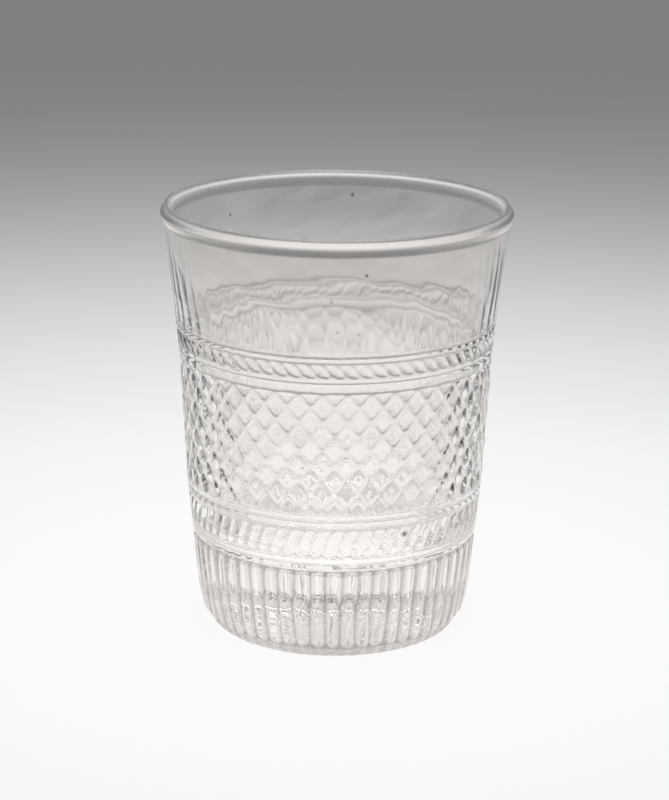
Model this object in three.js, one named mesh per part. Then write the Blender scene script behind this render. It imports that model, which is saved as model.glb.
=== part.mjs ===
// A glass beaker blown in a patterned mould: one piece of clear glass with an open mouth.
// From the foot up it carries upright flutes, a band of slanted ribs, a broad band of diamonds,
// a narrower band of ribs that slant the other way, faint upright ribs and a flared lip.
// Plain rings part the bands. The foot is solid glass up to the heads of the flutes. The inside
// is smooth and the underside is pushed up a little.
// Millimetres, +Z up. The origin is the centre of the circle that the beaker stands on, and
// the front of the pattern faces -Y.
import * as THREE from "three";

// Heights of the zones, stacked from the foot to the top of the lip.
const heelHeight = 2.8;
const fluteHeight = 22.8;
const footRingHeight = 2.0;
const footCollarHeight = 1.7;
const lowerRibHeight = 7.8;
const sillRingHeight = 2.1;
const sillCollarHeight = 1.6;
const diamondBandHeight = 33.4;
const broadRingHeight = 2.7;
const broadCollarHeight = 1.3;
const upperRibHeight = 4.0;
const neckCollarHeight = 1.4;
const uprightRibHeight = 17.0;
const neckHeight = 10.0;
const lipFlareHeight = 1.7;
const lipEdgeHeight = 0.6;
const lipSlopeHeight = 1.77;

// Outer radii over the crests of the relief, from the foot up.
const standRadius = 33.1;
const heelRadius = 34.2;
const fluteFootRadius = 35.6;
const fluteTurnRadius = 37.0;
const shoulderRadius = 38.6;
const sillRadius = 39.9;
const diamondTopRadius = 41.9;
const neckRingRadius = 42.7;
const neckRadius = 44.5;
const lipBaseRadius = 45.85;
const lipRadius = 46.5;

// Relief, from the bottom of a groove to the crest beside it.
const fluteDepth = 0.7;
const lowerRibDepth = 0.6;
const diamondDepth = 0.65;
const upperRibDepth = 0.5;
const uprightRibDepth = 0.2;
const ringDepth = 0.4;

// How many times each motif repeats round the wall.
const fluteCount = 57;
const lowerRibCount = 69;
const diamondCount = 42;
const upperRibCount = 72;

// Lean of the slanted ribs from the vertical, in degrees: positive leans right going up.
const lowerRibLean = 23;
const upperRibLean = -37;

// Whole rows of diamonds, each half a diamond below the last, the part of a row that is left
// under them and the part of a diamond's half height that its level ridge takes up.
const diamondRowCount = 8;
const diamondFootShare = 0.5;
const diamondRidgeShare = 0.35;

// Glass thickness from the crests to the smooth inside, and under the floor.
const lipWall = 2.4;
const neckWall = 2.4;
const bodyWall = 3.1;
const baseThickness = 24.0;

// The lip's narrow flat top, and the edge inside it.
const lipTopOutside = 45.45;
const lipTopInside = 44.7;
const lipInsideRadius = 43.7;
const lipInsideDrop = 1.17;

// Inside corner at the floor, and the underside.
const floorCornerRadius = 6.0;
const standWidth = 3.0;
const kickUpHeight = 1.2;
const pontilRadius = 8.0;

// Rounding of the heel's lower edge, of the flutes' ends and of the ends of ribs and diamonds.
const heelEdge = 0.8;
const fluteTurnHeight = 6.7;
const fluteEndLength = 1.6;
const fluteEndScallop = 0.7;
const reliefEndLength = 0.6;

// How much of the lip's corners is cut off along each side, and the most of a side's length.
const lipRounding = 0.5;
const lipRoundingShare = 0.4;

// How far a flute stands out half-way round its foot and half-way round its head.
const fluteFootShare = 0.75;
const fluteHeadShare = 0.5;

// How finely curved stretches are divided.
const columnsPerFlute = 4;
const columnsPerRib = 2;
const plainColumns = 60;
const insideColumns = 48;
const cornerSteps = 4;
const kickUpSteps = 3;
const ringSteps = 2;
const uprightRibSteps = 3;

const fullTurn = 2 * Math.PI;
const frontAngle = -Math.PI / 2;
const radians = THREE.MathUtils.degToRad;

// Zone borders, worked out by stacking the heights.
const fluteBase = heelHeight;
const footRingBase = fluteBase + fluteHeight;
const footCollarBase = footRingBase + footRingHeight;
const lowerRibBase = footCollarBase + footCollarHeight;
const sillRingBase = lowerRibBase + lowerRibHeight;
const sillCollarBase = sillRingBase + sillRingHeight;
const diamondBase = sillCollarBase + sillCollarHeight;
const broadRingBase = diamondBase + diamondBandHeight;
const broadCollarBase = broadRingBase + broadRingHeight;
const upperRibBase = broadCollarBase + broadCollarHeight;
const neckCollarBase = upperRibBase + upperRibHeight;
const uprightRibBase = neckCollarBase + neckCollarHeight;
const neckBase = uprightRibBase + uprightRibHeight;
const lipBase = neckBase + neckHeight;
const lipEdgeBase = lipBase + lipFlareHeight;
const lipSlopeBase = lipEdgeBase + lipEdgeHeight;
const lipTop = lipSlopeBase + lipSlopeHeight;

const crestOutline = [
  [fluteBase, fluteFootRadius],
  [fluteBase + fluteTurnHeight, fluteTurnRadius],
  [footRingBase, shoulderRadius],
  [sillCollarBase, sillRadius],
  [broadRingBase, diamondTopRadius],
  [uprightRibBase, neckRingRadius],
  [neckBase, neckRadius],
  [lipBase, lipBaseRadius],
];

const wallOutline = [
  [baseThickness, bodyWall],
  [uprightRibBase, bodyWall],
  [neckBase, neckWall],
  [lipBase, lipWall],
];

// The lip in section, as radius and height, from the outside over the top to the inside.
const lipCorners = [
  new THREE.Vector2(lipBaseRadius, lipBase),
  new THREE.Vector2(lipRadius, lipEdgeBase),
  new THREE.Vector2(lipRadius, lipSlopeBase),
  new THREE.Vector2(lipTopOutside, lipTop),
  new THREE.Vector2(lipTopInside, lipTop),
  new THREE.Vector2(lipInsideRadius, lipTop - lipInsideDrop),
  new THREE.Vector2(lipBaseRadius - lipWall, lipBase),
];

// A smooth curve through a list of [height, value] points, read at one height. The slope at
// each point is the slope between its neighbours.
function valueAt(outline, height) {
  const last = outline.length - 1;
  const slopeAt = (index) => {
    const [lowHeight, lowValue] = outline[Math.max(index - 1, 0)];
    const [highHeight, highValue] = outline[Math.min(index + 1, last)];
    return (highValue - lowValue) / (highHeight - lowHeight);
  };
  let index = 0;
  while (index < last - 1 && height > outline[index + 1][0]) index += 1;
  const [startHeight, startValue] = outline[index];
  const [endHeight, endValue] = outline[index + 1];
  const span = endHeight - startHeight;
  const share = THREE.MathUtils.clamp((height - startHeight) / span, 0, 1);
  const ease = share * share * (3 - 2 * share);
  const startPull = share * (1 - share) * (1 - share) * span * slopeAt(index);
  const endPull = share * share * (share - 1) * span * slopeAt(index + 1);
  return startValue + (endValue - startValue) * ease + startPull + endPull;
}

const crestAt = (height) => valueAt(crestOutline, height);
const insideAt = (height) => crestAt(height) - valueAt(wallOutline, height);

// One ring of points round the axis, counted from the front. The shift turns the ring by that
// many columns, and pointOf gives a column's [radius, height].
function makeRing(columns, pointOf, shift = 0) {
  const points = [];
  for (let column = 0; column < columns; column += 1) {
    const angle = frontAngle + (fullTurn * (column + shift)) / columns;
    const [radius, height] = pointOf(column);
    points.push(new THREE.Vector3(radius * Math.cos(angle), radius * Math.sin(angle), height));
  }
  return { columns, points, shift };
}

const plainRing = (columns, radius, height) => makeRing(columns, () => [radius, height]);

// The groove that parts two zones.
const grooveRing = (height) => plainRing(plainColumns, crestAt(height) - ringDepth, height);

// Half a wave from groove to groove, with its crest in the middle: 0 to 1 and back to 0.
const swell = (share) => Math.sin(Math.PI * share);

// The faces of the beaker, gathered ring by ring from the middle of the underside, up the
// outside, over the lip and down to the middle of the floor.
const faces = [];
const addFace = (a, b, c) => faces.push(a, b, c);

// Joins two rings of equal columns, column by column. The strip between two columns is split
// along its diagonal that leans right going up, or left where leansLeft is true.
function joinMatching(lower, upper, leansLeft = false) {
  const { columns } = lower;
  for (let column = 0; column < columns; column += 1) {
    const next = (column + 1) % columns;
    const [a, b] = [lower.points[column], lower.points[next]];
    const [c, d] = [upper.points[next], upper.points[column]];
    if (leansLeft) {
      addFace(a, b, d);
      addFace(b, c, d);
    } else {
      addFace(a, b, c);
      addFace(a, c, d);
    }
  }
}

// Joins two rings with any numbers of columns, by always stepping along the one whose next
// point comes first.
function joinByAngle(lower, upper) {
  const walk = (ring) => {
    const whole = Math.floor(ring.shift);
    const start = ring.shift - whole;
    return {
      angleAt: (step) => (step + start) / ring.columns,
      pointAt: (step) => ring.points[THREE.MathUtils.euclideanModulo(step - whole, ring.columns)],
    };
  };
  const below = walk(lower);
  const above = walk(upper);
  let low = 0;
  let high = 0;
  while (low < lower.columns || high < upper.columns) {
    const lowerTurn = high === upper.columns
      || (low < lower.columns && below.angleAt(low + 1) <= above.angleAt(high + 1));
    if (lowerTurn) {
      addFace(below.pointAt(low), below.pointAt(low + 1), above.pointAt(high));
      low += 1;
    } else {
      addFace(below.pointAt(low), above.pointAt(high + 1), above.pointAt(high));
      high += 1;
    }
  }
}

function joinRings(lower, upper) {
  const alike = lower.columns === upper.columns && lower.shift === upper.shift;
  if (alike) joinMatching(lower, upper);
  else joinByAngle(lower, upper);
}

// A fan of faces from one point on the axis to a ring. The underside's ring lies above its
// middle in the order of the faces, the floor's ring below.
function addFan(ring, height, isUnderside) {
  const middle = new THREE.Vector3(0, 0, height);
  for (let column = 0; column < ring.columns; column += 1) {
    const point = ring.points[column];
    const next = ring.points[(column + 1) % ring.columns];
    if (isUnderside) addFace(middle, next, point);
    else addFace(middle, point, next);
  }
}

// Joins each ring of a list to the one before it and returns the last.
function addRings(first, rings) {
  let below = first;
  for (const ring of rings) {
    joinRings(below, ring);
    below = ring;
  }
  return below;
}

// Underside: a flat middle, a shallow dome pushed up under it and the flat ring it stands on.
function addUnderside() {
  const standInside = standRadius - standWidth;
  const middle = plainRing(insideColumns, pontilRadius, kickUpHeight);
  addFan(middle, kickUpHeight, true);
  const rings = [];
  for (let step = 1; step < kickUpSteps; step += 1) {
    const share = step / kickUpSteps;
    const radius = pontilRadius + (standInside - pontilRadius) * share;
    rings.push(plainRing(insideColumns, radius, kickUpHeight * Math.cos((Math.PI / 2) * share)));
  }
  rings.push(plainRing(insideColumns, standInside, 0));
  rings.push(plainRing(columnsPerRib * fluteCount, standRadius, 0));
  return addRings(middle, rings);
}

// Heel: a plain rounded edge, set in under the ends of the flutes.
function addHeel(below) {
  const grooveRadius = crestAt(fluteBase) - fluteDepth;
  return addRings(below, [
    plainRing(columnsPerRib * fluteCount, heelRadius, heelEdge),
    plainRing(columnsPerFlute * fluteCount, grooveRadius, fluteBase),
  ]);
}

// One ring of the flutes. rise is how much of their depth stands here, and scallop moves the
// crests up or down, so that their ends are round.
function fluteRing(height, rise, scallop) {
  return makeRing(columnsPerFlute * fluteCount, (column) => {
    const stand = Math.abs(Math.cos((Math.PI * column) / columnsPerFlute));
    const level = height + scallop * stand;
    return [crestAt(level) - fluteDepth * (1 - rise * stand), level];
  });
}

// Flutes: upright rounded ribs with a crest at the front and round ends at foot and head.
function addFlutes(below) {
  const halfEnd = fluteEndLength / 2;
  return addRings(below, [
    fluteRing(fluteBase + halfEnd, fluteFootShare, -fluteEndScallop / 2),
    fluteRing(fluteBase + fluteEndLength, 1, 0),
    fluteRing(fluteBase + fluteTurnHeight, 1, 0),
    fluteRing(footRingBase - fluteEndLength, 1, 0),
    fluteRing(footRingBase - halfEnd, fluteHeadShare, fluteEndScallop / 2),
    grooveRing(footRingBase),
  ]);
}

// A plain half-round ring between two grooves.
function addPlainRing(below, base, height) {
  const rings = [];
  for (let step = 1; step <= ringSteps; step += 1) {
    const share = step / ringSteps;
    const level = base + height * share;
    rings.push(plainRing(plainColumns, crestAt(level) - ringDepth * (1 - swell(share)), level));
  }
  return addRings(below, rings);
}

// A band of slanted ribs. Its upper ring is turned against its lower one, so that they lean.
function addSlantedRibs(below, base, height, count, depth, lean) {
  const columns = columnsPerRib * count;
  const ribRing = (rise) => {
    const crest = crestAt(base + rise);
    const lateral = Math.tan(radians(lean)) * (rise - height / 2);
    const shift = (lateral / crest / fullTurn) * columns;
    const isCrest = (column) => column % columnsPerRib === 0;
    return makeRing(columns, (column) => [isCrest(column) ? crest : crest - depth, base + rise], shift);
  };
  const foot = ribRing(reliefEndLength);
  const head = ribRing(height - reliefEndLength);
  joinRings(below, foot);
  joinMatching(foot, head, lean > 0);
  return addRings(head, [grooveRing(base + height)]);
}

// Diamonds: rows of hipped roofs, each with an upright ridge between two grooves that cross.
// Rows are counted down from the ring above them, which cuts the first through its middle.
// Columns are half a diamond wide, and a row's diamonds stand where both counts add up even.
function addDiamonds(below) {
  const columns = 2 * diamondCount;
  const rowHeight = diamondBandHeight / (diamondRowCount + diamondFootShare);
  const pointAt = (column, row, depth) => {
    const angle = frontAngle + (fullTurn * column) / columns;
    const level = broadRingBase - row * rowHeight;
    const radius = crestAt(level) - depth;
    return new THREE.Vector3(radius * Math.cos(angle), radius * Math.sin(angle), level);
  };
  const cornerAt = (column, row) => pointAt(column, row, row === 0 ? ringDepth : diamondDepth);
  const ridgeFootAt = (column, row) => pointAt(column, row + diamondRidgeShare, 0);
  const ridgeHeadAt = (column, row) => (
    row === 0 ? cornerAt(column, row) : pointAt(column, row - diamondRidgeShare, 0)
  );
  const holdsDiamond = (column, row) => (column + row) % 2 === 0;

  const lastPoints = [];
  for (let column = 0; column < columns; column += 1) {
    const isRidge = holdsDiamond(column, diamondRowCount);
    lastPoints.push(isRidge ? ridgeFootAt(column, diamondRowCount) : cornerAt(column, diamondRowCount));
  }
  joinRings(below, { columns, points: lastPoints, shift: 0 });

  for (let row = diamondRowCount; row >= 0; row -= 1) {
    for (let column = 0; column < columns; column += 1) {
      if (!holdsDiamond(column, row)) continue;
      const left = cornerAt(column - 1, row);
      const right = cornerAt(column + 1, row);
      const foot = ridgeFootAt(column, row);
      const head = ridgeHeadAt(column, row);
      addFace(left, foot, head);
      addFace(foot, right, head);
      if (row > 0) {
        const top = cornerAt(column, row - 1);
        addFace(left, head, top);
        addFace(head, right, top);
      }
      if (row < diamondRowCount) {
        const bottom = cornerAt(column, row + 1);
        addFace(left, bottom, foot);
        addFace(bottom, right, foot);
      }
    }
  }
  return plainRing(columns, crestAt(broadRingBase) - ringDepth, broadRingBase);
}

// Upright ribs: one to a flute, plain to see above the rings and gone below the neck.
function addUprightRibs(below) {
  const ribRing = (level, depth) => makeRing(columnsPerRib * fluteCount, (column) => {
    const isCrest = column % columnsPerRib === 0;
    return [crestAt(level) - (isCrest ? 0 : depth), level];
  });
  const rings = [ribRing(uprightRibBase + reliefEndLength, uprightRibDepth)];
  for (let step = 1; step < uprightRibSteps; step += 1) {
    const share = step / uprightRibSteps;
    rings.push(ribRing(uprightRibBase + uprightRibHeight * share, uprightRibDepth * (1 - share)));
  }
  rings.push(plainRing(plainColumns, crestAt(neckBase), neckBase));
  return addRings(below, rings);
}

// The point where a corner is cut off on the way to its neighbour.
function cutPoint(corner, neighbour) {
  const share = Math.min(lipRounding / corner.distanceTo(neighbour), lipRoundingShare);
  return corner.clone().lerp(neighbour, share);
}

// Neck and lip: the plain wall flares to a blunt edge, slopes up to the flat top and turns in.
function addLip(below) {
  const middleLevel = (neckBase + lipBase) / 2;
  const section = [new THREE.Vector2(crestAt(middleLevel), middleLevel)];
  lipCorners.forEach((corner, index) => {
    const isEnd = index === 0 || index === lipCorners.length - 1;
    if (isEnd) section.push(corner);
    else section.push(cutPoint(corner, lipCorners[index - 1]), cutPoint(corner, lipCorners[index + 1]));
  });
  return addRings(below, section.map((point) => plainRing(plainColumns, point.x, point.y)));
}

// Inside: a smooth wall down to a rounded corner and a flat floor.
function addInside(below) {
  const cornerTop = baseThickness + floorCornerRadius;
  const levels = [neckBase, uprightRibBase, broadRingBase, (broadRingBase + diamondBase) / 2, diamondBase];
  const rings = levels.map((level) => plainRing(insideColumns, insideAt(level), level));
  const cornerMiddle = insideAt(cornerTop) - floorCornerRadius;
  for (let step = 0; step <= cornerSteps; step += 1) {
    const angle = ((Math.PI / 2) * step) / cornerSteps;
    const radius = cornerMiddle + floorCornerRadius * Math.cos(angle);
    rings.push(plainRing(insideColumns, radius, cornerTop - floorCornerRadius * Math.sin(angle)));
  }
  const floorRing = addRings(below, rings);
  addFan(floorRing, baseThickness, false);
}

function makeGlassBody() {
  let ring = addUnderside();
  ring = addHeel(ring);
  ring = addFlutes(ring);
  ring = addPlainRing(ring, footRingBase, footRingHeight);
  ring = addPlainRing(ring, footCollarBase, footCollarHeight);
  ring = addSlantedRibs(ring, lowerRibBase, lowerRibHeight, lowerRibCount, lowerRibDepth, lowerRibLean);
  ring = addPlainRing(ring, sillRingBase, sillRingHeight);
  ring = addPlainRing(ring, sillCollarBase, sillCollarHeight);
  ring = addDiamonds(ring);
  ring = addPlainRing(ring, broadRingBase, broadRingHeight);
  ring = addPlainRing(ring, broadCollarBase, broadCollarHeight);
  ring = addSlantedRibs(ring, upperRibBase, upperRibHeight, upperRibCount, upperRibDepth, upperRibLean);
  ring = addPlainRing(ring, neckCollarBase, neckCollarHeight);
  ring = addUprightRibs(ring);
  ring = addLip(ring);
  addInside(ring);
  return new THREE.BufferGeometry().setFromPoints(faces);
}

const clearGlass = new THREE.MeshStandardMaterial({
  color: 0xeae7e4,
  roughness: 0.05,
  metalness: 0,
  transparent: true,
  opacity: 0.35,
});

const geometry = makeGlassBody();
geometry.computeVertexNormals();
const glassBody = new THREE.Mesh(geometry, clearGlass);
glassBody.name = "glass_body";

const beaker = new THREE.Group();
beaker.add(glassBody);

export default beaker;
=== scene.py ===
"""A glass beaker blown in a patterned mould, standing on a pale floor that fades to grey.

The glass is one closed surface, worked out ring by ring in millimetres and stored in metres.
Its relief follows the same zones as the solid in the frame. Angles run from the front of the
beaker to its right.
"""
import math
from collections import namedtuple

import bpy
import numpy as np
from mathutils import Matrix, Vector


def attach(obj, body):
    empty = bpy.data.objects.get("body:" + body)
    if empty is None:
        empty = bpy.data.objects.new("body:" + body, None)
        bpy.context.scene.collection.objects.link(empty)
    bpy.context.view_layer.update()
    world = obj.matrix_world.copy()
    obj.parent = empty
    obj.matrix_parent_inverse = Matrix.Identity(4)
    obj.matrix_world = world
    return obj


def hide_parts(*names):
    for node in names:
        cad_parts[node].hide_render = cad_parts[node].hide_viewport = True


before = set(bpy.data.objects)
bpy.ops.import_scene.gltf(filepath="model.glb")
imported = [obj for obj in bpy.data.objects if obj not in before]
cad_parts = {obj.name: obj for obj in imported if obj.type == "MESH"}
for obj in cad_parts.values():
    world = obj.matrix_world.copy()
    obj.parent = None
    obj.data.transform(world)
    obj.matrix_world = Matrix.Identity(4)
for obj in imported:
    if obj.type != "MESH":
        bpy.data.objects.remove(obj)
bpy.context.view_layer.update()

MM = 0.001
FULL_TURN = 2 * math.pi
FRONT = -math.pi / 2

# Heights of the zones in millimetres, stacked from the foot to the top of the lip.
HEEL_HEIGHT = 2.8
FLUTE_HEIGHT = 22.8
FOOT_RING_HEIGHT = 2.0
FOOT_COLLAR_HEIGHT = 1.7
LOWER_RIB_HEIGHT = 7.8
SILL_RING_HEIGHT = 2.1
SILL_COLLAR_HEIGHT = 1.6
DIAMOND_BAND_HEIGHT = 33.4
BROAD_RING_HEIGHT = 2.7
BROAD_COLLAR_HEIGHT = 1.3
UPPER_RIB_HEIGHT = 4.0
NECK_COLLAR_HEIGHT = 1.4
UPRIGHT_RIB_HEIGHT = 17.0
NECK_HEIGHT = 10.0
LIP_FLARE_HEIGHT = 1.7
LIP_EDGE_HEIGHT = 0.6
LIP_SLOPE_HEIGHT = 1.77

FLUTE_BASE = HEEL_HEIGHT
FOOT_RING_BASE = FLUTE_BASE + FLUTE_HEIGHT
FOOT_COLLAR_BASE = FOOT_RING_BASE + FOOT_RING_HEIGHT
LOWER_RIB_BASE = FOOT_COLLAR_BASE + FOOT_COLLAR_HEIGHT
SILL_RING_BASE = LOWER_RIB_BASE + LOWER_RIB_HEIGHT
SILL_COLLAR_BASE = SILL_RING_BASE + SILL_RING_HEIGHT
DIAMOND_BASE = SILL_COLLAR_BASE + SILL_COLLAR_HEIGHT
BROAD_RING_BASE = DIAMOND_BASE + DIAMOND_BAND_HEIGHT
BROAD_COLLAR_BASE = BROAD_RING_BASE + BROAD_RING_HEIGHT
UPPER_RIB_BASE = BROAD_COLLAR_BASE + BROAD_COLLAR_HEIGHT
NECK_COLLAR_BASE = UPPER_RIB_BASE + UPPER_RIB_HEIGHT
UPRIGHT_RIB_BASE = NECK_COLLAR_BASE + NECK_COLLAR_HEIGHT
NECK_BASE = UPRIGHT_RIB_BASE + UPRIGHT_RIB_HEIGHT
LIP_BASE = NECK_BASE + NECK_HEIGHT
LIP_EDGE_BASE = LIP_BASE + LIP_FLARE_HEIGHT
LIP_SLOPE_BASE = LIP_EDGE_BASE + LIP_EDGE_HEIGHT
LIP_TOP = LIP_SLOPE_BASE + LIP_SLOPE_HEIGHT

# Outer radii over the crests.
STAND_RADIUS = 33.1
FLUTE_FOOT_RADIUS = 35.6
FLUTE_TURN_HEIGHT = 6.7
FLUTE_TURN_RADIUS = 37.0
SHOULDER_RADIUS = 38.6
SILL_RADIUS = 39.9
DIAMOND_TOP_RADIUS = 41.9
NECK_RING_RADIUS = 42.7
NECK_RADIUS = 44.5
LIP_BASE_RADIUS = 45.85
LIP_RADIUS = 46.5
# The crests lie this far inside their radii, to leave room for the glass's unevenness.
CREST_INSET = 0.05

# Relief: depths, how flat each motif is on top, counts to the turn and leans in degrees.
FLUTE_DEPTH = 0.9
LOWER_RIB_DEPTH = 0.42
DIAMOND_DEPTH = 0.38
UPPER_RIB_DEPTH = 0.38
UPRIGHT_RIB_DEPTH = 0.08
RING_DEPTH = 0.30
FLUTE_POWER = 4.0
RIB_POWER = 2.6
DIAMOND_POWER = 3.6
DIAMOND_CORNER_POWER = 3.0
RING_POWER = 4.0
UPRIGHT_FADE_POWER = 1.5
FLUTE_COUNT = 57
LOWER_RIB_COUNT = 69
DIAMOND_COUNT = 42
UPPER_RIB_COUNT = 72
LOWER_RIB_LEAN = 23
UPPER_RIB_LEAN = -37
DIAMOND_ROWS = 8.5
# Over this height at each end, a band's relief runs out into the grooves of the rings.
RELIEF_END = 0.6

# Glass thickness, the floor inside and the underside.
LIP_WALL = 2.4
NECK_WALL = 2.4
BODY_WALL = 3.1
BASE_THICKNESS = 24.0
FLOOR_CORNER_RADIUS = 12.0
INSIDE_FOLLOW_SHARE = 0.25
STAND_WIDTH = 3.0
KICK_UP_HEIGHT = 1.2
PONTIL_RADIUS = 8.0
UNDERSIDE_LEAST = 0.1

# The heel runs in from the flutes' grooves to the ring that the beaker stands on, scalloped.
HEEL_SCALLOP = 0.6
HEEL_SPREAD_POWER = 0.8
HEEL_SCALLOP_POWER = 0.5

# The lip flares to a blunt outer edge, slopes up to a narrow flat top and turns in.
LIP_TOP_OUTSIDE = 45.45
LIP_TOP_INSIDE = 44.7
LIP_INSIDE_RADIUS = 43.7
LIP_INSIDE_DROP = 1.17
LIP_ROUNDING = 0.5
LIP_ROUNDING_SHARE = 0.4

# Columns of points round the beaker, rows of points over its surfaces, and the radius at which
# the rows of the underside and of the floor inside end in a fan.
COLUMNS_PER_FLUTE = 18
COLUMNS = FLUTE_COUNT * COLUMNS_PER_FLUTE
PONTIL_ROWS = 5
KICK_UP_ROWS = 11
HEEL_ROWS = 7
UPRIGHT_RIB_ROWS = 44
NECK_ROWS = 30
LIP_ROUNDING_STEPS = 6
INSIDE_WALL_ROWS = 118
FLOOR_CORNER_ROWS = 14
FLOOR_ROWS = 9
FAN_RADIUS = 2.0

LIP_CORNERS = [
    (LIP_BASE_RADIUS, LIP_BASE),
    (LIP_RADIUS, LIP_EDGE_BASE),
    (LIP_RADIUS, LIP_SLOPE_BASE),
    (LIP_TOP_OUTSIDE, LIP_TOP),
    (LIP_TOP_INSIDE, LIP_TOP),
    (LIP_INSIDE_RADIUS, LIP_TOP - LIP_INSIDE_DROP),
    (LIP_BASE_RADIUS - LIP_WALL, LIP_BASE),
]
CREST_OUTLINE = [
    (FLUTE_BASE, FLUTE_FOOT_RADIUS),
    (FLUTE_BASE + FLUTE_TURN_HEIGHT, FLUTE_TURN_RADIUS),
    (FOOT_RING_BASE, SHOULDER_RADIUS),
    (SILL_COLLAR_BASE, SILL_RADIUS),
    (BROAD_RING_BASE, DIAMOND_TOP_RADIUS),
    (UPRIGHT_RIB_BASE, NECK_RING_RADIUS),
    (NECK_BASE, NECK_RADIUS),
    (LIP_BASE, LIP_BASE_RADIUS),
]
WALL_OUTLINE = [
    (BASE_THICKNESS, BODY_WALL),
    (UPRIGHT_RIB_BASE, BODY_WALL),
    (NECK_BASE, NECK_WALL),
    (LIP_BASE, LIP_WALL),
]

# How far the neck's own unevenness has come in by each height, from 0 to 1.
NECK_WAVE_START = 4
NECK_WAVE_END = 5
NECK_WAVE_SHARES = [
    (UPRIGHT_RIB_BASE, 0),
    (UPRIGHT_RIB_BASE + NECK_WAVE_START, 1),
    (LIP_BASE - NECK_WAVE_END, 1),
    (LIP_BASE, 0),
]

# Painted shade on the glass, from 0, clear, to 1, standing in for the darkness that bending and
# reflection of light give: in the heel, in the grooves of the rings, and in the wall at each height.
HEEL_PAINTED_SHADE = 0.5
RING_PAINTED_SHADE = 0.15
RING_SHARPNESS = 3.0
WALL_PAINTED_SHADES = [
    (0, 0.0),
    (BROAD_RING_BASE, 0.0),
    (UPRIGHT_RIB_BASE, 0.08),
    (UPRIGHT_RIB_BASE + UPRIGHT_RIB_HEIGHT / 2, 0.24),
    (NECK_BASE, 0.27),
    (LIP_BASE, 0.12),
    (LIP_TOP, 0.08),
]

# Roughness as a multiple of the inside's: the outside has none and the lip's is the greatest.
INSIDE_WEAR = 1
LIP_WEAR = 3.5

# Dark specks in the glass and one larger inclusion, the first: degrees to the right of the front,
# height, radius and strength.
SPECKS = [
    (27.5, 35.0, 0.85, 1.0),
    (9.5, 105.7, 0.5, 1.0),
    (-1.5, 99.0, 0.36, 0.7),
    (0.5, 90.8, 0.36, 0.8),
    (7.5, 90.2, 0.40, 0.6),
    (-11.5, 54.2, 0.36, 0.8),
    (174.5, 107.5, 0.55, 1.0),
    (222.5, 104.0, 0.45, 1.0),
]
SPECK_EDGE_POWER = 4

# A band of the relief: its base and height, its rows of points, the function that gives its
# depth, its full depth, the painted shade at the bottom of its grooves, which stands in for the
# darkness that bending of light gives there, how closely the painted shade keeps to the bottom,
# and whether its rows are spaced evenly.
Zone = namedtuple("Zone", "base tall rows depth_of deepest shade sharpness even", defaults=[False])

# A ring of points: radii, heights, painted shades, one roughness for all, and the strengths of
# specks.
Row = namedtuple("Row", "radius height shade wear speck")


def value_at(outline, height):
    """A smooth curve through a list of (height, value) points, read at an array of heights."""
    heights, values = (np.array(column, float) for column in zip(*outline))
    slopes = np.empty(len(heights))
    slopes[1:-1] = (values[2:] - values[:-2]) / (heights[2:] - heights[:-2])
    slopes[0] = (values[1] - values[0]) / (heights[1] - heights[0])
    slopes[-1] = (values[-1] - values[-2]) / (heights[-1] - heights[-2])
    index = np.clip(np.searchsorted(heights, height) - 1, 0, len(heights) - 2)
    span = heights[index + 1] - heights[index]
    share = np.clip((height - heights[index]) / span, 0, 1)
    ease = share * share * (3 - 2 * share)
    rise = values[index] + (values[index + 1] - values[index]) * ease
    rise += share * (1 - share) ** 2 * span * slopes[index]
    return rise + share * share * (share - 1) * span * slopes[index + 1]


def rounded(corners, steps):
    """Points along a line through the given corners, each corner rounded off."""
    points = [np.array(corner, float) for corner in corners]
    line = [points[0]]
    for before, corner, after in zip(points, points[1:], points[2:]):
        back, ahead = before - corner, after - corner
        start = corner + back * min(LIP_ROUNDING / np.linalg.norm(back), LIP_ROUNDING_SHARE)
        end = corner + ahead * min(LIP_ROUNDING / np.linalg.norm(ahead), LIP_ROUNDING_SHARE)
        for share in np.linspace(0, 1, steps + 1):
            near = start + (corner - start) * share
            far = corner + (end - corner) * share
            line.append(near + (far - near) * share)
    return line + [points[-1]]


def crest_at(height):
    return value_at(CREST_OUTLINE, height)


def inside_at(height):
    return crest_at(height) - value_at(WALL_OUTLINE, height)


def settle_at(height):
    """The share of the walls' unevenness at a height: none at the foot and the top of the lip."""
    return np.sin(math.pi * np.clip(height / LIP_TOP, 0, 1))


class Ripple:
    """A soft seeded unevenness of about the given height, periodic round the axis."""

    WAVES = 24
    LENGTH_RANGE = 4

    def __init__(self, seed, height, most_turns, least_length):
        rng = np.random.default_rng(seed)
        self.turns = rng.integers(1, most_turns + 1, self.WAVES)
        lengths = least_length * rng.uniform(1, self.LENGTH_RANGE, self.WAVES)
        self.pitch = FULL_TURN / lengths
        self.phase = rng.uniform(0, FULL_TURN, self.WAVES)
        self.height = height * math.sqrt(2 / self.WAVES)

    def at(self, phi, height):
        total = np.zeros(np.broadcast(phi, height).shape)
        for turns, pitch, phase in zip(self.turns, self.pitch, self.phase):
            total += np.sin(turns * phi + pitch * height + phase)
        return total * self.height


ring_wander = Ripple(seed=3, height=0.10, most_turns=5, least_length=60)
wall_wave = Ripple(seed=5, height=0.035, most_turns=12, least_length=14)
inside_wave = Ripple(seed=7, height=0.05, most_turns=14, least_length=10)
relief_change = Ripple(seed=11, height=0.10, most_turns=40, least_length=6)
streaks = Ripple(seed=13, height=0.025, most_turns=70, least_length=60)
under_wave = Ripple(seed=17, height=0.3, most_turns=30, least_length=8)
flute_wander = Ripple(seed=29, height=0.008, most_turns=90, least_length=20)
neck_wave = Ripple(seed=19, height=0.012, most_turns=40, least_length=4)
neck_streaks = Ripple(seed=23, height=0.008, most_turns=110, least_length=12)


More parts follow.
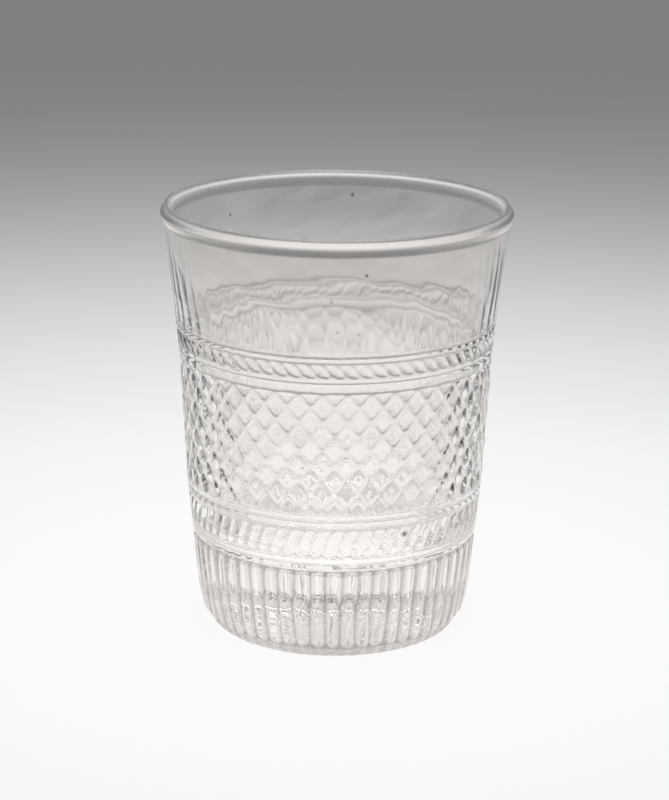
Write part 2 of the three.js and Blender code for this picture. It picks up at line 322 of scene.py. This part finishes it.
def rib_stand(zone, phi, height, count, lean_degrees, power):
    """Round-ended ribs that lean: 1 on their crests and 0 between them and past their ends."""
    middle = zone.base + zone.tall / 2
    radius = crest_at(middle)
    half_width = math.pi * radius / count
    lateral = math.tan(math.radians(lean_degrees)) * (height - middle)
    turn = (phi - lateral / radius) * count / FULL_TURN
    across = 2 * (turn - np.round(turn))
    past = np.abs(height - middle) - (zone.tall / 2 - half_width)
    end = np.maximum(past, 0) / half_width
    reach = np.minimum(np.hypot(across, end), 1)
    return 1 - reach ** power


def diamond_stand(phi, height):
    """Flat pillow-like diamonds in rows that step by half a diamond, counted down from their top."""
    column = phi * 2 * DIAMOND_COUNT / FULL_TURN
    row = (BROAD_RING_BASE - height) * DIAMOND_ROWS / DIAMOND_BAND_HEIGHT
    rising = column + row
    falling = column - row
    rising = np.abs(rising - 2 * np.round(rising / 2))
    falling = np.abs(falling - 2 * np.round(falling / 2))
    corner = DIAMOND_CORNER_POWER
    reach = np.minimum((rising ** corner + falling ** corner) ** (1 / corner), 1)
    return 1 - reach ** DIAMOND_POWER


def band_depth(zone, stand, height):
    """How far a band's surface lies under its crests, meeting the ring grooves at its ends."""
    inset = np.minimum(height - zone.base, zone.base + zone.tall - height)
    ends = 1 - np.clip(inset / RELIEF_END, 0, 1)
    return zone.deepest * (1 - stand) * (1 - ends) + RING_DEPTH * ends


def flute_depth(zone, phi, height):
    wandering = phi + flute_wander.at(phi, height)
    return zone.deepest * (1 - rib_stand(zone, wandering, height, FLUTE_COUNT, 0, FLUTE_POWER))


def lower_rib_depth(zone, phi, height):
    stand = rib_stand(zone, phi, height, LOWER_RIB_COUNT, LOWER_RIB_LEAN, RIB_POWER)
    return band_depth(zone, stand, height)


def upper_rib_depth(zone, phi, height):
    stand = rib_stand(zone, phi, height, UPPER_RIB_COUNT, UPPER_RIB_LEAN, RIB_POWER)
    return band_depth(zone, stand, height)


def diamond_depth(zone, phi, height):
    return band_depth(zone, diamond_stand(phi, height), height)


def ring_depth(zone, phi, height):
    share = np.clip((height - zone.base) / zone.tall, 0, 1)
    return zone.deepest * np.abs(2 * share - 1) ** RING_POWER


def upright_rib_depth(phi, height):
    """Faint upright ribs, one to a flute, that fade out upwards into the plain neck."""
    above = np.clip((height - UPRIGHT_RIB_BASE) / UPRIGHT_RIB_HEIGHT, 0, 1)
    ribs = 1 - np.abs(np.cos(FLUTE_COUNT * phi / 2))
    upright = UPRIGHT_RIB_DEPTH * ribs * (1 - above) ** UPRIGHT_FADE_POWER
    start = np.clip((height - UPRIGHT_RIB_BASE) / RELIEF_END, 0, 1)
    return upright * start + RING_DEPTH * (1 - start)


def ring_zone(base, tall, rows=7):
    return Zone(base, tall, rows, ring_depth, RING_DEPTH, RING_PAINTED_SHADE, RING_SHARPNESS)


ZONES = [
    Zone(FLUTE_BASE, FLUTE_HEIGHT, 40, flute_depth, FLUTE_DEPTH, 0.9, 1.2),
    ring_zone(FOOT_RING_BASE, FOOT_RING_HEIGHT),
    ring_zone(FOOT_COLLAR_BASE, FOOT_COLLAR_HEIGHT),
    Zone(LOWER_RIB_BASE, LOWER_RIB_HEIGHT, 26, lower_rib_depth, LOWER_RIB_DEPTH, 0.25, 3.0),
    ring_zone(SILL_RING_BASE, SILL_RING_HEIGHT),
    ring_zone(SILL_COLLAR_BASE, SILL_COLLAR_HEIGHT),
    Zone(DIAMOND_BASE, DIAMOND_BAND_HEIGHT, 119, diamond_depth, DIAMOND_DEPTH, 0.12, 3.2, even=True),
    ring_zone(BROAD_RING_BASE, BROAD_RING_HEIGHT, rows=8),
    ring_zone(BROAD_COLLAR_BASE, BROAD_COLLAR_HEIGHT),
    Zone(UPPER_RIB_BASE, UPPER_RIB_HEIGHT, 16, upper_rib_depth, UPPER_RIB_DEPTH, 0.2, 3.0),
    ring_zone(NECK_COLLAR_BASE, NECK_COLLAR_HEIGHT),
]


def depth_at(phi, height):
    """Depth of the outside under its crests, for arrays of angles from the front and heights."""
    depth = np.zeros(np.broadcast(phi, height).shape)
    for zone in ZONES:
        inside = (height >= zone.base) & (height <= zone.base + zone.tall)
        depth = np.where(inside, zone.depth_of(zone, phi, height), depth)
    return np.where(height > UPRIGHT_RIB_BASE, upright_rib_depth(phi, height), depth)


def painted_shade_at(depth, height):
    """Painted shade, from 0 to 1, standing in for the darkness that bending of light gives in the
    grooves and on the upper wall, at a depth under the crests.
    """
    shade = np.zeros(depth.shape)
    for zone in ZONES:
        inside = (height >= zone.base) & (height <= zone.base + zone.tall)
        share = np.clip(depth / zone.deepest, 0, 1)
        shade = np.where(inside, zone.shade * share ** zone.sharpness, shade)
    return shade + np.interp(height, *zip(*WALL_PAINTED_SHADES))


def speck_at(phi, height):
    """Up to 1 on the dark specks and the inclusion in the glass, 0 elsewhere."""
    total = np.zeros(phi.shape)
    for degrees, level, radius, strength in SPECKS:
        turn = (phi - math.radians(degrees) + math.pi) % FULL_TURN - math.pi
        away = np.hypot(turn * crest_at(level), height - level) / radius
        total = np.maximum(total, strength * np.exp(-away ** SPECK_EDGE_POWER))
    return total


def spaced(base, tall, rows, even=False):
    """Heights over a zone without its last one, closer together at its ends unless even."""
    share = np.arange(rows) / rows
    if not even:
        share = (1 - np.cos(math.pi * share)) / 2
    return base + tall * share


def outside_heights():
    heights = [spaced(zone.base, zone.tall, zone.rows, zone.even) for zone in ZONES]
    heights.append(spaced(UPRIGHT_RIB_BASE, UPRIGHT_RIB_HEIGHT, UPRIGHT_RIB_ROWS))
    heights.append(spaced(NECK_BASE, LIP_BASE - NECK_BASE, NECK_ROWS, even=True))
    return np.concatenate(heights)


def make_row(phi, radius, height, shade=0, wear=0, specked=True):
    radius, height, shade = np.broadcast_arrays(radius, height, shade, phi)[:3]
    speck = speck_at(phi, height) if specked else np.zeros(len(phi))
    return Row(radius.astype(float), height.astype(float), shade, wear, speck)


def underside_rows(phi):
    """The pontil's flat, the pushed-up hollow round it and the outer edge of the stand."""
    stand_inside = STAND_RADIUS - STAND_WIDTH
    rows = [make_row(phi, radius, KICK_UP_HEIGHT)
            for radius in np.linspace(FAN_RADIUS, PONTIL_RADIUS, PONTIL_ROWS)]
    for share in np.linspace(0, 1, KICK_UP_ROWS + 1)[1:]:
        hollow = KICK_UP_HEIGHT * math.cos(math.pi / 2 * share)
        wave = math.sin(math.pi * share) * under_wave.at(phi, share * stand_inside)
        radius = PONTIL_RADIUS + (stand_inside - PONTIL_RADIUS) * share
        rows.append(make_row(phi, radius, np.maximum(hollow + wave, UNDERSIDE_LEAST)))
    rows.append(make_row(phi, STAND_RADIUS, 0))
    return rows


def heel_rows(phi):
    """The heel, dented in under the grooves between the flutes."""
    groove = FLUTE_FOOT_RADIUS - FLUTE_DEPTH
    between = np.abs(np.sin(FLUTE_COUNT * phi / 2)) ** 2
    rows = []
    for share in np.linspace(0, 1, HEEL_ROWS + 2)[1:-1]:
        dent = HEEL_SCALLOP * between * math.sin(math.pi * share) ** HEEL_SCALLOP_POWER
        radius = STAND_RADIUS + (groove - STAND_RADIUS) * share ** HEEL_SPREAD_POWER - dent
        # Painted shade darkens the heel all round.
        rows.append(make_row(phi, radius, FLUTE_BASE * share, shade=HEEL_PAINTED_SHADE))
    return rows


def outside_row(phi, level):
    """One ring of the patterned outside. The unevenness moves it, and the relief moves with it."""
    settle = settle_at(level)
    levels = np.full_like(phi, level)
    moved = level + ring_wander.at(phi, level) * settle
    depth = depth_at(phi, levels)
    change = 1 + relief_change.at(phi, level)
    wave = (wall_wave.at(phi, level) + streaks.at(phi, level)) * settle
    neck = neck_wave.at(phi, level) + neck_streaks.at(phi, level)
    wave = wave + neck * np.interp(level, *zip(*NECK_WAVE_SHARES))
    radius = crest_at(moved) - depth * change - CREST_INSET + wave
    # Painted shade in the grooves, deepest at their bottoms, and on the upper wall.
    return make_row(phi, radius, moved, shade=painted_shade_at(depth, levels))


def lip_rows(phi):
    rows = []
    for radius, level in rounded(LIP_CORNERS, LIP_ROUNDING_STEPS):
        wear = LIP_WEAR * np.clip((level - LIP_BASE) / LIP_FLARE_HEIGHT, 0, 1)
        rows.append(make_row(phi, radius, level, wear=wear))
    return rows


def inside_row(phi, radius, height):
    return make_row(phi, radius, height, wear=INSIDE_WEAR, specked=False)


def inside_rows(phi):
    """The wall inside, which follows the relief faintly, its rounded corner and the floor."""
    rows = []
    corner_top = BASE_THICKNESS + FLOOR_CORNER_RADIUS
    for level in np.linspace(LIP_BASE, corner_top, INSIDE_WALL_ROWS + 2)[1:-1]:
        follow = INSIDE_FOLLOW_SHARE * depth_at(phi, np.full_like(phi, level))
        wave = inside_wave.at(phi, level) * settle_at(level)
        rows.append(inside_row(phi, inside_at(level) - follow + wave, level))
    corner_middle = inside_at(corner_top) - FLOOR_CORNER_RADIUS
    for angle in np.linspace(0, math.pi / 2, FLOOR_CORNER_ROWS):
        radius = corner_middle + FLOOR_CORNER_RADIUS * math.cos(angle)
        rows.append(inside_row(phi, radius, corner_top - FLOOR_CORNER_RADIUS * math.sin(angle)))
    for radius in np.linspace(corner_middle, FAN_RADIUS, FLOOR_ROWS + 1)[1:]:
        rows.append(inside_row(phi, radius, BASE_THICKNESS))
    return rows


def glass_rows(phi):
    """Rings of points from the underside up the outside, over the lip and down to the floor."""
    outside = [outside_row(phi, level) for level in outside_heights()]
    return underside_rows(phi) + heel_rows(phi) + outside + lip_rows(phi) + inside_rows(phi)


def glass_shape(phi, rows):
    """Vertices and faces of the closed surface, with one more point in the middle of each end."""
    radius = np.array([row.radius for row in rows])
    height = np.array([row.height for row in rows])
    angle = FRONT + phi
    points = np.stack([radius * np.cos(angle), radius * np.sin(angle), height], axis=-1) * MM
    count, columns = radius.shape
    vertices = points.reshape(-1, 3)
    low = np.arange(count - 1)[:, None] * columns
    column = np.arange(columns)
    following = (column + 1) % columns
    quads = np.stack(np.broadcast_arrays(
        low + column, low + following, low + columns + following, low + columns + column), axis=-1)
    first = vertices[:columns].mean(axis=0)
    last = vertices[-columns:].mean(axis=0)
    vertices = np.vstack([vertices, first, last])
    foot, top = len(vertices) - 2, len(vertices) - 1
    start_fan = [(foot, f, c) for c, f in zip(column, following)]
    base = (count - 1) * columns
    end_fan = [(top, base + c, base + f) for c, f in zip(column, following)]
    return vertices.tolist(), quads.reshape(-1, 4).tolist() + start_fan + end_fan


def store(mesh, name, values, at_ends):
    """Keep a value for each point of the rows, and for the middle points of the two ends."""
    attribute = mesh.attributes.new(name, "FLOAT", "POINT")
    attribute.data.foreach_set("value", np.append(values, at_ends).astype(np.float32))


def make_glass():
    phi = FULL_TURN * np.arange(COLUMNS) / COLUMNS
    rows = glass_rows(phi)
    vertices, faces = glass_shape(phi, rows)
    mesh = bpy.data.meshes.new("glass_beaker")
    mesh.from_pydata(vertices, [], faces)
    mesh.polygons.foreach_set("use_smooth", np.ones(len(faces), bool))
    store(mesh, "worn", np.repeat([row.wear for row in rows], COLUMNS), [0, INSIDE_WEAR])
    # The painted shade of each point, read by the glass material.
    store(mesh, "shade", np.concatenate([row.shade for row in rows]), [0, 0])
    store(mesh, "speck", np.concatenate([row.speck for row in rows]), [0, 0])
    mesh.update()
    piece = bpy.data.objects.new("glass_beaker", mesh)
    bpy.context.scene.collection.objects.link(piece)
    piece.data.materials.append(glass_material())
    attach(piece, "root")
    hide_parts("glass_body")


def new_tree(name):
    material = bpy.data.materials.new(name)
    material.use_nodes = True
    tree = material.node_tree
    tree.nodes.clear()
    return material, tree


def add_node(tree, kind, inputs=None, **settings):
    """A new node with its settings. An input is a value, or a socket that is linked to it."""
    node = tree.nodes.new(kind)
    for name, value in settings.items():
        setattr(node, name, value)
    for name, value in (inputs or {}).items():
        if isinstance(value, bpy.types.NodeSocket):
            tree.links.new(value, node.inputs[name])
        else:
            node.inputs[name].default_value = value
    return node


def attribute(tree, name):
    return add_node(tree, "ShaderNodeAttribute", attribute_name=name).outputs["Fac"]


def calculated(tree, operation, first, second=None, clamp=False):
    inputs = {0: first} if second is None else {0: first, 1: second}
    node = add_node(tree, "ShaderNodeMath", inputs, operation=operation, use_clamp=clamp)
    return node.outputs["Value"]


def mixed_colour(tree, factor, first, second):
    inputs = {"Factor": factor, "A": first, "B": second}
    return add_node(tree, "ShaderNodeMix", inputs, data_type="RGBA").outputs["Result"]


def mixed_shader(tree, factor, first, second):
    inputs = {"Fac": factor, 1: first, 2: second}
    return add_node(tree, "ShaderNodeMixShader", inputs).outputs["Shader"]


def ramp(tree, place, stops, colour_of):
    """A colour ramp through (place, value) stops, where colour_of gives each value's colour."""
    node = add_node(tree, "ShaderNodeValToRGB", {"Fac": place})
    elements = node.color_ramp.elements
    # New stops start in the middle and are moved to their places below.
    while len(elements) < len(stops):
        elements.new(0.5)
    for element, (position, value) in zip(elements, stops):
        element.position = position
        element.color = colour_of(value)
    return node.outputs["Color"]


INSIDE_ROUGHNESS = 0.1
GLASS_INDEX = 1.52
CLEAR_TINT = (1.0, 0.98, 0.967, 1)
# The colour that painted shade darkens the glass to, in the grooves, the heel and the upper wall.
PAINTED_SHADE_COLOUR = (0.25, 0.215, 0.20, 1)
SPECK_TINT = (0.012, 0.009, 0.007, 1)
SHADOW_TINT = (0.93, 0.92, 0.915, 1)
DEEP_TINT = (0.62, 0.40, 0.36, 1)
DEEP_DENSITY = 0.9


def glass_material():
    """Clear glass with painted shade in the grooves, the heel and the upper wall, darker in the
    specks, rough inside and on the lip.
    """
    material, tree = new_tree("clear_glass")
    # Painted shade mixes the glass's own tint towards the painted shade colour.
    tint_and_painted_shade = mixed_colour(tree, attribute(tree, "shade"), CLEAR_TINT, PAINTED_SHADE_COLOUR)
    glass = add_node(tree, "ShaderNodeBsdfPrincipled", {
        "Base Color": mixed_colour(tree, attribute(tree, "speck"), tint_and_painted_shade, SPECK_TINT),
        "Roughness": calculated(tree, "MULTIPLY", attribute(tree, "worn"), INSIDE_ROUGHNESS),
        "IOR": GLASS_INDEX,
        "Transmission Weight": 1.0,
    })
    clear = add_node(tree, "ShaderNodeBsdfTransparent", {"Color": SHADOW_TINT})
    deep = add_node(tree, "ShaderNodeVolumeAbsorption", {"Color": DEEP_TINT, "Density": DEEP_DENSITY})
    path = add_node(tree, "ShaderNodeLightPath")
    surface = mixed_shader(tree, path.outputs["Is Shadow Ray"],
                           glass.outputs["BSDF"], clear.outputs["BSDF"])
    add_node(tree, "ShaderNodeOutputMaterial",
             {"Surface": surface, "Volume": deep.outputs["Volume"]})
    return material


def srgb(value):
    """Linear strength of a brightness from 0 to 255."""
    share = value / 255
    return share / 12.92 if share <= 0.04045 else ((share + 0.055) / 1.055) ** 2.4


# The floor is white near the beaker and grey far off: a painted pool of light that fades out
# softly, with 1 / e of it left at this distance. Tones are brightnesses from 0 to 255.
NEAR_TONE = 250
FAR_TONE = 129
FLOOR_REACH = 450.0
FLOOR_FADE_POWER = 2.1
# The floor's green is brighter than its red and blue by this much.
FLOOR_GREEN = 0.6
# The share of its brightness that doesn't depend on the light and takes no shadow.
FLOOR_GLOW = 0.75
FLOOR_RADIUS = 30000.0
FLOOR_SIDES = 96
FLOOR_GAP = 0.02


def floor_colour(tone):
    return (srgb(tone), srgb(tone + FLOOR_GREEN), srgb(tone), 1)


def floor_material():
    """A floor with a painted pool of light round the beaker, that looks the same directly, in
    reflections and through the glass.
    """
    material, tree = new_tree("pale_floor")
    where = add_node(tree, "ShaderNodeNewGeometry")
    away = add_node(tree, "ShaderNodeVectorMath", {0: where.outputs["Position"]}, operation="LENGTH")
    reach = calculated(tree, "DIVIDE", away.outputs["Value"], FLOOR_REACH * MM)
    fade = calculated(tree, "POWER", reach, FLOOR_FADE_POWER)
    near_share = calculated(tree, "EXPONENT", calculated(tree, "MULTIPLY", fade, -1.0))
    colour = mixed_colour(tree, near_share, floor_colour(FAR_TONE), floor_colour(NEAR_TONE))
    glow = add_node(tree, "ShaderNodeEmission", {"Color": colour})
    lit = add_node(tree, "ShaderNodeBsdfDiffuse", {"Color": colour})
    path = add_node(tree, "ShaderNodeLightPath").outputs
    seen = calculated(tree, "ADD", path["Is Camera Ray"], path["Is Glossy Ray"], clamp=True)
    seen = calculated(tree, "ADD", seen, path["Is Transmission Ray"], clamp=True)
    glow_share = calculated(tree, "MULTIPLY", seen, FLOOR_GLOW)
    surface = mixed_shader(tree, glow_share, lit.outputs["BSDF"], glow.outputs["Emission"])
    add_node(tree, "ShaderNodeOutputMaterial", {"Surface": surface})
    return material


def make_floor():
    bpy.ops.mesh.primitive_circle_add(vertices=FLOOR_SIDES, radius=FLOOR_RADIUS * MM,
                                      fill_type="NGON", location=(0, 0, -FLOOR_GAP * MM))
    floor = bpy.context.object
    floor.name = "floor"
    floor.data.materials.append(floor_material())


# The studio round the floor: a grey zone low down behind, pale walls at the sides and a dim room
# in front. Tones go by the sine of the elevation. The shares of the grey zone and of the dim room
# go by the turn from behind the beaker, 0, to in front of it, 1.
GREY_TONES = [(0.0, 150), (0.06, 165), (0.14, 178), (0.25, 200), (0.35, 225), (0.5, 245),
              (1.0, 252)]
PALE_TONES = [(0.0, 235), (0.10, 252), (0.3, 254), (1.0, 254)]
DIM_TONES = [(0.0, 100), (0.2, 120), (0.35, 215), (0.6, 252), (1.0, 252)]
GREY_SHARES = [(0.0, 1.0), (0.072, 1.0), (0.095, 0.0), (1.0, 0.0)]
DIM_SHARES = [(0.0, 0.0), (0.58, 0.0), (0.70, 1.0), (1.0, 1.0)]
STUDIO_GREEN = 0.985
STUDIO_BLUE = 0.97
# What lights the floor and any other dull surface.
ROOM_LIGHT = (0.8, 0.8, 0.8, 1)


def studio_colour(tone):
    value = srgb(tone)
    return (value, value * STUDIO_GREEN, value * STUDIO_BLUE, 1)


def share_colour(share):
    return (share, share, share, 1)


def make_world():
    world = bpy.data.worlds.new("studio")
    bpy.context.scene.world = world
    world.use_nodes = True
    tree = world.node_tree
    tree.nodes.clear()
    where = add_node(tree, "ShaderNodeTexCoord")
    split = add_node(tree, "ShaderNodeSeparateXYZ", {0: where.outputs["Generated"]}).outputs
    side = calculated(tree, "ABSOLUTE", split["X"])
    azimuth = calculated(tree, "ARCTAN2", side, split["Y"])
    turn = calculated(tree, "DIVIDE", azimuth, math.pi)
    grey = ramp(tree, split["Z"], GREY_TONES, studio_colour)
    pale = ramp(tree, split["Z"], PALE_TONES, studio_colour)
    dim = ramp(tree, split["Z"], DIM_TONES, studio_colour)
    behind = ramp(tree, turn, GREY_SHARES, share_colour)
    in_front = ramp(tree, turn, DIM_SHARES, share_colour)
    walls = mixed_colour(tree, behind, mixed_colour(tree, in_front, pale, dim), grey)
    seen = add_node(tree, "ShaderNodeBackground", {"Color": walls})
    light = add_node(tree, "ShaderNodeBackground", {"Color": ROOM_LIGHT})
    path = add_node(tree, "ShaderNodeLightPath")
    surface = mixed_shader(tree, path.outputs["Is Diffuse Ray"],
                           seen.outputs["Background"], light.outputs["Background"])
    add_node(tree, "ShaderNodeOutputWorld", {"Surface": surface})


# One soft lamp over the beaker and a little behind it, in metres and watts.
LAMP_PLACE = Vector((0.0, 0.15, 0.9))
LAMP_TARGET = Vector((0, 0, 0.06))
LAMP_SIZE = 0.5
LAMP_POWER = 3.0


def make_lamp():
    data = bpy.data.lights.new("overhead", "AREA")
    data.shape = "DISK"
    data.size = LAMP_SIZE
    data.energy = LAMP_POWER
    lamp = bpy.data.objects.new("overhead", data)
    bpy.context.scene.collection.objects.link(lamp)
    lamp.location = LAMP_PLACE
    lamp.rotation_euler = (LAMP_TARGET - LAMP_PLACE).to_track_quat("-Z", "Y").to_euler()


# The camera, fitted to the photograph: 669 by 800 pixels. The clip distances are in metres.
LENS = 107.505
SENSOR = 36.0
CAMERA_DISTANCE = 643.86
CAMERA_PITCH = math.radians(16.604)
CAMERA_ROLL = math.radians(0.600)
AIM = Vector((-0.169, 0, 60.49))
CLIP_START = 0.01
CLIP_END = 100


def make_camera():
    data = bpy.data.cameras.new("camera")
    data.lens = LENS
    data.sensor_width = SENSOR
    data.clip_start = CLIP_START
    data.clip_end = CLIP_END
    camera = bpy.data.objects.new("camera", data)
    bpy.context.scene.collection.objects.link(camera)
    forward = Vector((0, math.cos(CAMERA_PITCH), -math.sin(CAMERA_PITCH)))
    level = Vector((1, 0, 0))
    up = Vector((0, math.sin(CAMERA_PITCH), math.cos(CAMERA_PITCH)))
    side = math.cos(CAMERA_ROLL) * level + math.sin(CAMERA_ROLL) * up
    top = math.cos(CAMERA_ROLL) * up - math.sin(CAMERA_ROLL) * level
    place = (AIM - forward * CAMERA_DISTANCE) * MM
    turned = Matrix((side, top, -forward)).transposed().to_4x4()
    camera.matrix_world = Matrix.Translation(place) @ turned
    bpy.context.scene.camera = camera


scene = bpy.context.scene
scene.view_settings.view_transform = "Standard"
# Light turns many times inside the solid foot, so the limits on its turns are set here.
scene.cycles.max_bounces = 16
scene.cycles.glossy_bounces = 6
scene.cycles.transmission_bounces = 12
make_camera()
make_world()
make_floor()
make_lamp()
make_glass()
